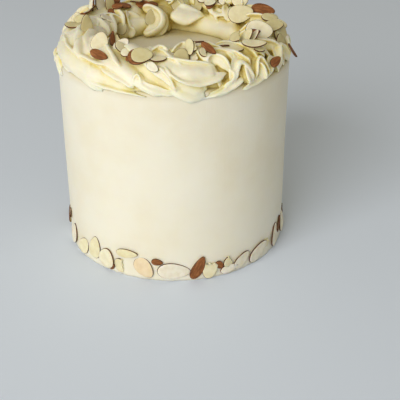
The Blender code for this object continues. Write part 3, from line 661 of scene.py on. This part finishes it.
def soften(target):
    """Run the strokes into one another as soft cream does."""
    blend = target.modifiers.new("blend", "REMESH")
    blend.mode = "VOXEL"
    blend.voxel_size = BLEND_SIZE
    smooth = target.modifiers.new("smooth", "SMOOTH")
    smooth.factor = SMOOTHING
    smooth.iterations = BLEND_ROUNDS
    apply_modifiers(target)


def split_faces(work):
    bmesh.ops.triangulate(work, faces=work.faces)


def thin_out(target):
    """Larger triangles where the cream is flat, so that the mesh is of a handy size."""
    edit_mesh(target.data, split_faces)
    thin = target.modifiers.new("thin", "DECIMATE")
    thin.ratio = CREAM_TRIANGLES / len(target.data.polygons)
    apply_modifiers(target)


def drop_flaps(work):
    """Drop each pair of faces on the same points, a flap that the thinning leaves."""
    on_points = {}
    for face in work.faces:
        on_points.setdefault(frozenset(face.verts), []).append(face)
    flaps = [face for faces in on_points.values() if len(faces) > 1 for face in faces]
    bmesh.ops.delete(work, geom=flaps, context="FACES")


def keep_largest_shell(work):
    """Drop loose crumbs and sealed hollows: only the outer shell stays."""
    unseen = set(work.faces)
    shells = []
    for start in work.faces:
        if start not in unseen:
            continue
        unseen.remove(start)
        shell = {start}
        border = [start]
        while border:
            face = border.pop()
            for edge in face.edges:
                for other in edge.link_faces:
                    if other in unseen:
                        unseen.remove(other)
                        shell.add(other)
                        border.append(other)
        shells.append(shell)
    largest = max(shells, key=len)
    scraps = [face for face in work.faces if face not in largest]
    bmesh.ops.delete(work, geom=scraps, context="FACES")


def ring_core():
    """The elliptical ring of cream that the folds lie on."""
    rings = []
    for step in range(CORE_STEPS):
        for side in range(CORE_SIDES):
            turn = 2 * math.pi * side / CORE_SIDES
            reach = RING_RADIUS + CORE_HALF_WIDTH * math.cos(turn)
            level = CAKE_HEIGHT + CORE_HALF_HEIGHT * math.sin(turn)
            rings.append(polar(reach, 360 * step / CORE_STEPS, level))
    faces = []
    for step in range(CORE_STEPS):
        here = step * CORE_SIDES
        there = (step + 1) % CORE_STEPS * CORE_SIDES
        for side in range(CORE_SIDES):
            after = (side + 1) % CORE_SIDES
            faces.append((here + side, here + after, there + after, there + side))
    data = bpy.data.meshes.new("ring_core")
    data.from_pydata([tuple(point) for point in rings], [], faces)
    edit_mesh(data, face_outward)
    return data


def cake_mesh(name, grow, levels, relief):
    """The iced cylinder, with relief(bearing, height) added to its radius."""
    radius = CAKE_RADIUS + grow
    height = CAKE_HEIGHT + grow
    corner = TOP_EDGE_RADIUS + grow
    profile = [(radius, level) for level in np.linspace(0.0, height - corner, levels)]
    for step in range(1, CORNER_STEPS + 1):
        turn = math.pi / 2 * step / CORNER_STEPS
        profile.append(
            (radius - corner + corner * math.cos(turn), height - corner + corner * math.sin(turn))
        )
    rings = np.zeros((len(profile), CAKE_SIDES, 3))
    for row, (reach, level) in enumerate(profile):
        for side in range(CAKE_SIDES):
            bearing = 360 * side / CAKE_SIDES
            rings[row, side] = polar(reach + relief(bearing, level), bearing, level)
    return tube_mesh(name, rings)


def coat_relief(bearing, level):
    """The coat's faint unevenness, and the skirt that it spreads into at the foot."""
    turn = math.radians(bearing)
    place = Vector((math.sin(turn), math.cos(turn), 0)) * RELIEF_ROUND
    broad = noise.noise(place + Vector((0, 0, level * RELIEF_UP)))
    ragged = noise.noise(place * SKIRT_ROUND + SKIRT_SHIFT)
    skirt = math.exp(-level / SKIRT_HEIGHT) * (SKIRT_LEVEL + ragged)
    return RELIEF_DEPTH * broad + SKIRT_DEPTH * max(0.0, skirt)


def no_relief(bearing, level):
    return 0.0


def boolean(target, operation, **operand):
    step = target.modifiers.new(operation.lower(), "BOOLEAN")
    step.operation = operation
    step.solver = "MANIFOLD"
    for setting, value in operand.items():
        setattr(step, setting, value)
    apply_modifiers(target)


def fuse(target, meshes):
    """Join the meshes to the target with one union, then remove them."""
    group = bpy.data.collections.new("to_join")
    bpy.context.scene.collection.children.link(group)
    for data in meshes:
        group.objects.link(bpy.data.objects.new(data.name, data))
    boolean(target, "UNION", operand_type="COLLECTION", collection=group)
    for thing in list(group.objects):
        bpy.data.objects.remove(thing, do_unlink=True)
    bpy.data.collections.remove(group)


# ---------------------------------------------------------------- materials


def material(name):
    made = bpy.data.materials.new(name)
    made.use_nodes = True
    tree = made.node_tree
    return made, tree, tree.nodes["Principled BSDF"]


def set_inputs(target, values):
    for key, value in values.items():
        target.inputs[key].default_value = value


def node(tree, kind, **settings):
    made = tree.nodes.new(kind)
    for key, value in settings.items():
        if key in made.inputs:
            made.inputs[key].default_value = value
        else:
            setattr(made, key, value)
    return made


def noise_map(tree, place, **settings):
    made = node(tree, "ShaderNodeTexNoise", **settings)
    tree.links.new(place, made.inputs["Vector"])
    return made.outputs["Fac"]


def add_bump(tree, height, strength, distance, under=None):
    made = node(tree, "ShaderNodeBump", Strength=strength, Distance=distance)
    tree.links.new(height, made.inputs["Height"])
    if under:
        tree.links.new(under, made.inputs["Normal"])
    return made.outputs["Normal"]


def ramp(tree, source, stops):
    made = tree.nodes.new("ShaderNodeValToRGB")
    elements = made.color_ramp.elements
    while len(elements) < len(stops):
        elements.new(0.5)
    for element, (place, colour) in zip(elements, stops):
        element.position = place
        element.color = (*colour, 1.0)
    tree.links.new(source, made.inputs["Fac"])
    return made.outputs["Color"]


def multiply(tree, colour, tint, share=None):
    """The colour times the tint, in full or by a share."""
    mix = node(tree, "ShaderNodeMix", data_type="RGBA", blend_type="MULTIPLY")
    mix.inputs["Factor"].default_value = 1.0
    if share:
        tree.links.new(share, mix.inputs["Factor"])
    tree.links.new(colour, mix.inputs["A"])
    tree.links.new(tint, mix.inputs["B"])
    return mix.outputs["Result"]


def broad_shade(tree, colour, stops, share=None):
    """The colour with painted shade: darker and warmer in the wide hollows, where cream lights
    cream.
    """
    shade = node(tree, "ShaderNodeAmbientOcclusion", samples=8, Distance=BROAD_SHADE_REACH)
    return multiply(tree, colour, ramp(tree, shade.outputs["AO"], stops), share)


def cream_material():
    """Ivory buttercream with painted shade: darker and yellower in its creases and wide hollows."""
    made, tree, shader = material("piped_cream_look")
    place = tree.nodes.new("ShaderNodeTexCoord").outputs["Object"]
    # Painted shade: darker, yellower cream in the creases
    crease_shade = node(tree, "ShaderNodeAmbientOcclusion", samples=8, only_local=True)
    crease_shade.inputs["Distance"].default_value = CREASE_REACH
    colour = ramp(tree, crease_shade.outputs["AO"], CREASE_SHADE_STOPS)
    patches = noise_map(tree, place, Scale=45.0, Detail=3.0)
    colour = multiply(tree, colour, ramp(tree, patches, CREAM_PATCH_STOPS))
    # Painted shade in the ring's wide hollows
    colour = broad_shade(tree, colour, BROAD_SHADE_STOPS)
    tree.links.new(colour, shader.inputs["Base Color"])
    grain = noise_map(tree, place, Scale=700.0, Detail=6.0, Roughness=0.6)
    tree.links.new(add_bump(tree, grain, 0.5, 0.0003), shader.inputs["Normal"])
    set_inputs(shader, CREAM_SURFACE)
    return made


def coat_material():
    """Smoothed buttercream with upright streaks and pores, with painted shade on its top: darker
    and warmer there.
    """
    made, tree, shader = material("buttercream_coat_look")
    place = tree.nodes.new("ShaderNodeTexCoord").outputs["Object"]
    patches = noise_map(tree, place, Scale=22.0, Detail=4.0, Roughness=0.55)
    colour = ramp(tree, patches, COAT_STOPS)
    height = tree.nodes.new("ShaderNodeSeparateXYZ")
    tree.links.new(place, height.inputs["Vector"])
    # Mask of the top, where the painted shade goes
    on_top = node(tree, "ShaderNodeMapRange")
    on_top.inputs["From Min"].default_value = CAKE_HEIGHT - 2 * TOP_EDGE_RADIUS
    on_top.inputs["From Max"].default_value = CAKE_HEIGHT - TOP_EDGE_RADIUS / 2
    tree.links.new(height.outputs["Z"], on_top.inputs["Value"])
    colour = broad_shade(tree, colour, TOP_SHADE_STOPS, on_top.outputs["Result"])
    tree.links.new(colour, shader.inputs["Base Color"])
    upright = node(tree, "ShaderNodeMapping", Scale=(1.0, 1.0, 0.06))
    tree.links.new(place, upright.inputs["Vector"])
    streaks = noise_map(tree, upright.outputs["Vector"], Scale=420.0, Detail=5.0, Roughness=0.6)
    pores = noise_map(tree, place, Scale=900.0, Detail=4.0)
    streaked = add_bump(tree, streaks, 0.35, 0.0002)
    pitted = add_bump(tree, pores, 0.3, 0.0001, streaked)
    tree.links.new(pitted, shader.inputs["Normal"])
    set_inputs(shader, COAT_SURFACE)
    return made


def almond_flesh():
    """Cut almond, of the tone that each slice carries: its own paler or darker colour, and painted
    shade at low tones.
    """
    made, tree, shader = material("almond_flesh_look")
    tone = node(tree, "ShaderNodeAttribute", attribute_name="tone").outputs["Fac"]
    place = node(tree, "ShaderNodeAttribute", attribute_name="slice_place").outputs["Vector"]
    grain = noise_map(tree, place, Scale=260.0, Detail=4.0)
    mottle = ramp(tree, grain, MOTTLE_STOPS)
    colour = multiply(tree, ramp(tree, tone, FLESH_STOPS), mottle)
    tree.links.new(colour, shader.inputs["Base Color"])
    tree.links.new(add_bump(tree, grain, 0.4, 0.0002), shader.inputs["Normal"])
    set_inputs(shader, FLESH_SURFACE)
    return made


def almond_skin(name, stops):
    """Papery skin with veins along the slice."""
    made, tree, shader = material(name)
    place = node(tree, "ShaderNodeAttribute", attribute_name="slice_place").outputs["Vector"]
    stretch = node(tree, "ShaderNodeMapping", Scale=(0.25, 1.0, 1.0))
    tree.links.new(place, stretch.inputs["Vector"])
    veins = noise_map(tree, stretch.outputs["Vector"], Scale=900.0, Detail=4.0)
    tree.links.new(ramp(tree, veins, stops), shader.inputs["Base Color"])
    tree.links.new(add_bump(tree, veins, 0.6, 0.0002), shader.inputs["Normal"])
    set_inputs(shader, SKIN_SURFACE)
    return made


# ---------------------------------------------------------------- almond slices


def slice_frame(centre, face_bearing, face_elevation, spin):
    """The frame of a slice that faces a bearing and an elevation, turned by spin."""
    turn = math.radians(face_bearing)
    lift = math.radians(face_elevation)
    face = polar(math.cos(lift), face_bearing, math.sin(lift))
    level = Vector((math.cos(turn), math.sin(turn), 0.0))
    steep = face.cross(level)
    roll = math.radians(spin)
    long_axis = level * math.cos(roll) + steep * math.sin(roll)
    short_axis = face.cross(long_axis)
    axes = Matrix((long_axis, short_axis, face)).transposed().to_4x4()
    return Matrix.Translation(centre) @ axes


def slice_outline(length, width, kind):
    """Outline of a slice, and which of its edges are broken."""
    outline, broken = [], []
    for side in range(SLICE_SIDES):
        turn = 2 * math.pi * (side + 0.5) / SLICE_SIDES
        along = math.cos(turn)
        across = math.sin(turn) * (1 - SLICE_TAPER * along)
        snapped = kind == "broken" and along > BROKEN_AT
        if snapped:
            waves = (depth * math.sin(beats * across) for depth, beats in BREAK_WAVES)
            along = sum(waves, BROKEN_AT)
        broken.append(snapped)
        outline.append((length / 2 * along, width / 2 * across))
    return outline, broken


def slices_object(name, slices, looks):
    """One object of many slices: (frame, length, width, kind, tone, bend)."""
    points, faces, marks, tones, places = [], [], [], [], []
    half = SLICE_THICKNESS / 2
    bands = len(SLICE_SECTION) - 3
    for slice_axes, length, width, kind, tone, bend in slices:
        outline, broken = slice_outline(length, width, kind)
        count = len(outline)
        base = len(points)
        for shrink, level in SLICE_SECTION:
            ring = outline if shrink else [(0.0, 0.0)]
            for x, y in ring:
                sx, sy = x * shrink, y * shrink
                lift = bend * ((sx / (length / 2)) ** 2 - BEND_LEVEL) * length
                rough = Vector((sx * ROUGH_SCALE, sy * ROUGH_SCALE, tone * ROUGH_APART))
                lift += ROUGH_DEPTH * noise.noise(rough)
                points.append(slice_axes @ Vector((sx, sy, level * half + lift)))
                tones.append(tone)
                places.append((sx + tone * LOOK_APART, sy, level * half))
        start = base + 1
        for side in range(count):
            after = (side + 1) % count
            faces.append((base, start + side, start + after))
            marks.append(SKIN if kind == "skin" else FLESH)
        for row in range(bands):
            here = start + row * count
            there = here + count
            for side in range(count):
                after = (side + 1) % count
                faces.append((here + side, there + side, there + after, here + after))
                if row in RIM_BANDS:
                    marks.append(FLESH if broken[side] or broken[after] else RIM)
                elif kind == "skin" and row < RIM_BANDS[0]:
                    marks.append(SKIN)
                else:
                    marks.append(FLESH)
        last = start + bands * count
        tip = last + count
        for side in range(count):
            after = (side + 1) % count
            faces.append((tip, last + after, last + side))
            marks.append(FLESH)
    data = bpy.data.meshes.new(name)
    data.from_pydata([tuple(point) for point in points], [], faces)
    for look in looks:
        data.materials.append(look)
    data.polygons.foreach_set("material_index", marks)
    data.polygons.foreach_set("use_smooth", [True] * len(faces))
    data.attributes.new("tone", "FLOAT", "POINT").data.foreach_set("value", tones)
    flat = [value for place in places for value in place]
    data.attributes.new("slice_place", "FLOAT_VECTOR", "POINT").data.foreach_set("vector", flat)
    edit_mesh(data, face_outward)
    return make_object(name, data)


def foot_slices():
    """The slices on the coat at the foot, the listed ones first."""
    chance = random.Random(SEED + 1)
    tones = random.Random(SEED + 5)
    places = list(FOOT_SLICES)
    spacing = FOOT_BEHIND_SPAN / FOOT_SLICES_BEHIND
    for index in range(FOOT_SLICES_BEHIND):
        length = 1000 * SLICE_LENGTH * chance.uniform(0.7, 1.2)
        width = 1000 * SLICE_WIDTH * chance.uniform(0.75, 1.1)
        spin = chance.uniform(-85, 85)
        reach = math.hypot(
            length / 2 * math.sin(math.radians(spin)), width / 2 * math.cos(math.radians(spin))
        )
        places.append(
            (
                FOOT_BEHIND_FROM + spacing * (index + chance.uniform(0.1, 0.9)),
                reach + chance.uniform(1.0, 4.5),
                spin,
                length,
                width,
                chance.choice(("face", "face", "face", "broken", "skin")),
                tones.uniform(0.3, 1.0),
            )
        )
    made = []
    for bearing, height, spin, length, width, kind, tone in places:
        stand_off = chance.uniform(*FOOT_STAND_OFF)
        centre = polar(CAKE_RADIUS + stand_off, bearing, height / 1000)
        axes = slice_frame(centre, bearing + chance.uniform(-9, 9), chance.uniform(-4, 8), spin)
        made.append((axes, length / 1000, width / 1000, kind, tone, tones.uniform(-0.03, 0.0)))
    return made


def ring_slices(cream):
    """The slices on the cream, each set where a ray meets it, the listed ones first."""
    chance = random.Random(SEED + 2)
    tones = random.Random(SEED + 6)
    places = list(RING_SLICES)
    spacing = RING_BEHIND_SPAN / RING_SLICES_BEHIND
    for index in range(RING_SLICES_BEHIND):
        bearing = RING_BEHIND_FROM + spacing * (index + chance.uniform(0, 1))
        arch = chance.uniform(45, 150)
        upright = chance.random() < 0.4
        places.append(
            (
                bearing,
                arch,
                chance.uniform(1, 2.5) if upright else chance.uniform(0.3, 1.0),
                bearing + chance.uniform(-180, 180) if upright else bearing,
                chance.uniform(0, 30) if upright else 180 - arch + chance.uniform(-30, 30),
                chance.uniform(50, 90) if upright else chance.uniform(-90, 90),
                1000 * SLICE_LENGTH * chance.uniform(0.6, 1.1),
                1000 * SLICE_WIDTH * chance.uniform(0.7, 1.05),
                chance.choice(("face", "face", "broken", "skin")),
                tones.random(),
            )
        )
    made = []
    for place in places:
        bearing, arch, rise, face_bearing, face_elevation, spin, length, width, kind, tone = place
        middle = polar(RING_RADIUS, bearing, CAKE_HEIGHT)
        lean = math.radians(arch)
        outward = polar(-math.cos(lean), bearing, math.sin(lean))
        hit = cream.ray_cast(middle + outward * RAY_START, -outward)[0]
        axes = slice_frame(hit + outward * rise / 1000, face_bearing, face_elevation, spin)
        made.append((axes, length / 1000, width / 1000, kind, tone, tones.uniform(-0.06, 0.06)))
    return made


# ---------------------------------------------------------------- the cake

coat = make_object(
    "buttercream_coat", cake_mesh("buttercream_coat", 0.0, COAT_LEVELS, coat_relief)
)
coat.data.shade_smooth()
coat.data.materials.append(coat_material())
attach(coat, "root")
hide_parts("iced_cake")

ring = make_object("piped_cream", ring_core())
all_strokes = [*STROKES, *strokes_behind()]
fuse(
    ring,
    [fold_mesh(fold, number) for number, fold in enumerate(list_folds())]
    + [stroke_mesh(stroke, number) for number, stroke in enumerate(all_strokes)]
    + [curl_mesh(curl) for curl in CURLS],
)
warp(ring.data)
soften(ring)
cutter = make_object("cutter", cake_mesh("cutter", CUTTER_GROWTH, CUTTER_LEVELS, no_relief))
boolean(ring, "DIFFERENCE", object=cutter)
bpy.data.objects.remove(cutter, do_unlink=True)
edit_mesh(ring.data, keep_largest_shell)
thin_out(ring)
edit_mesh(ring.data, drop_flaps)
ring.data.shade_smooth()
ring.data.materials.clear()
ring.data.materials.append(cream_material())
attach(ring, "root")
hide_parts("piped_ring")

almond_looks = (
    almond_flesh(),
    almond_skin("almond_skin_look", SKIN_STOPS),
    almond_skin("almond_rim_look", RIM_STOPS),
)
cream_tree = BVHTree.FromObject(ring, bpy.context.evaluated_depsgraph_get())
foot = slices_object("foot_almonds", foot_slices(), almond_looks)
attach(foot, "root")
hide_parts("iced_cake")
top = slices_object("ring_almonds", ring_slices(cream_tree), almond_looks)
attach(top, "root")
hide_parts("piped_ring")

# ---------------------------------------------------------------- the stage

floor_data = bpy.data.meshes.new("floor")
floor_corners = [
    (-FLOOR_REACH, -FLOOR_REACH, 0),
    (FLOOR_REACH, -FLOOR_REACH, 0),
    (FLOOR_REACH, FLOOR_REACH, 0),
    (-FLOOR_REACH, FLOOR_REACH, 0),
]
floor_data.from_pydata(floor_corners, [], [(0, 1, 2, 3)])
floor = make_object("floor", floor_data)
floor_look, _, floor_shader = material("floor_look")
set_inputs(floor_shader, FLOOR_SURFACE)
floor_data.materials.append(floor_look)

camera_data = bpy.data.cameras.new("camera")
camera_data.lens = LENS
camera_data.sensor_width = SENSOR_WIDTH
camera = make_object("camera", camera_data)
camera.location = CAMERA_PLACE
camera.rotation_euler = (math.radians(90 - CAMERA_ELEVATION), 0.0, 0.0)
bpy.context.scene.camera = camera


def softbox(name, place, size, power, colour):
    """A square area light aimed at the middle of the cake."""
    lamp = bpy.data.lights.new(name, "AREA")
    lamp.size = size
    lamp.energy = power
    lamp.color = colour
    made = make_object(name, lamp)
    made.location = place
    made.rotation_euler = (LIGHT_AIM - Vector(place)).to_track_quat("-Z", "Y").to_euler()


softbox("key", place=(-1.30, -2.16, 1.30), size=2.1, power=63.0, colour=(1.0, 0.99, 0.98))
softbox("fill", place=(1.8, -1.4, 1.0), size=2.0, power=1.0, colour=(1.0, 0.98, 0.94))
world = bpy.data.worlds.new("world")
bpy.context.scene.world = world
world.use_nodes = True
set_inputs(world.node_tree.nodes["Background"], WORLD_LIGHT)
bpy.context.scene.view_settings.view_transform = "Standard"
